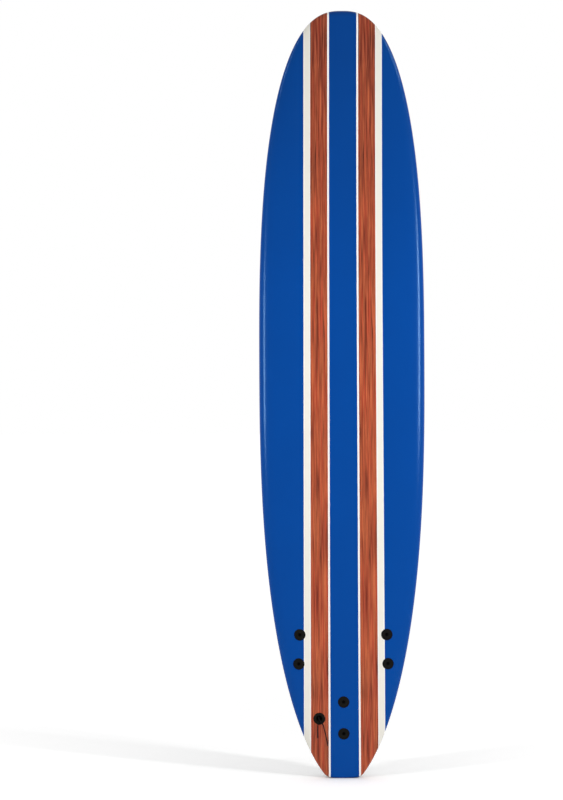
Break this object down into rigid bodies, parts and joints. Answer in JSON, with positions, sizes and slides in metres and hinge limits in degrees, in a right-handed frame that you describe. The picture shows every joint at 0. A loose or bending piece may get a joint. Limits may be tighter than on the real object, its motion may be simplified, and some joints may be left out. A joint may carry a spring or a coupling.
{
  "type": "soft-top surfboard",
  "caption": "Soft-top surfboard with a striped foam deck, slick bottom, wooden stringers, bolt-on fins with deck washers, and a leash plug with its string.",
  "frame": {"origin": "on the flat end of the tail, midway across the board, on the deck skin", "axes": "+X across the board to the rider's right, -Y out of the deck, +Y towards the fins, +Z from tail to nose"},
  "size_m": [0.533, 0.2413, 2.438],
  "materials": {
    "deck_foam": "closed-cell foam sheet with a fine grain, blue with printed stripes",
    "slick": "smooth white polyethylene sheet",
    "sheet_foam": "closed-cell polyethylene foam sheet",
    "core_foam": "expanded polystyrene beads",
    "ply": "bare plywood",
    "black_plastic": "black moulded plastic, satin",
    "sleeve_plastic": "natural plastic tube",
    "brass": "machined brass",
    "steel": "stainless steel",
    "cord": "braided polyester cord, almost black"
  },
  "bodies": {
    "root": {"deck_skin": "deck_foam", "bottom_slick": "slick", "bottom_foam": "sheet_foam", "core_left": "core_foam", "core_center": "core_foam", "core_right": "core_foam", "stringer_left": "ply", "stringer_right": "ply", "fin_left": "black_plastic", "fin_right": "black_plastic", "fin_center": "black_plastic", "fin_insert_left_front": "brass", "fin_insert_left_rear": "brass", "fin_insert_right_front": "brass", "fin_insert_right_rear": "brass", "fin_insert_center_front": "brass", "fin_insert_center_rear": "brass", "fin_sleeve_left_front": "sleeve_plastic", "fin_sleeve_left_rear": "sleeve_plastic", "fin_sleeve_right_front": "sleeve_plastic", "fin_sleeve_right_rear": "sleeve_plastic", "fin_sleeve_center_front": "sleeve_plastic", "fin_sleeve_center_rear": "sleeve_plastic", "fin_washer_left_front": "black_plastic", "fin_washer_left_rear": "black_plastic", "fin_washer_right_front": "black_plastic", "fin_washer_right_rear": "black_plastic", "fin_washer_center_front": "black_plastic", "fin_washer_center_rear": "black_plastic", "fin_screw_left_front": "steel", "fin_screw_left_rear": "steel", "fin_screw_right_front": "steel", "fin_screw_right_rear": "steel", "fin_screw_center_front": "steel", "fin_screw_center_rear": "steel", "leash_cup": "black_plastic", "leash_pin": "steel", "leash_string": "cord"}
  },
  "joints": []
}
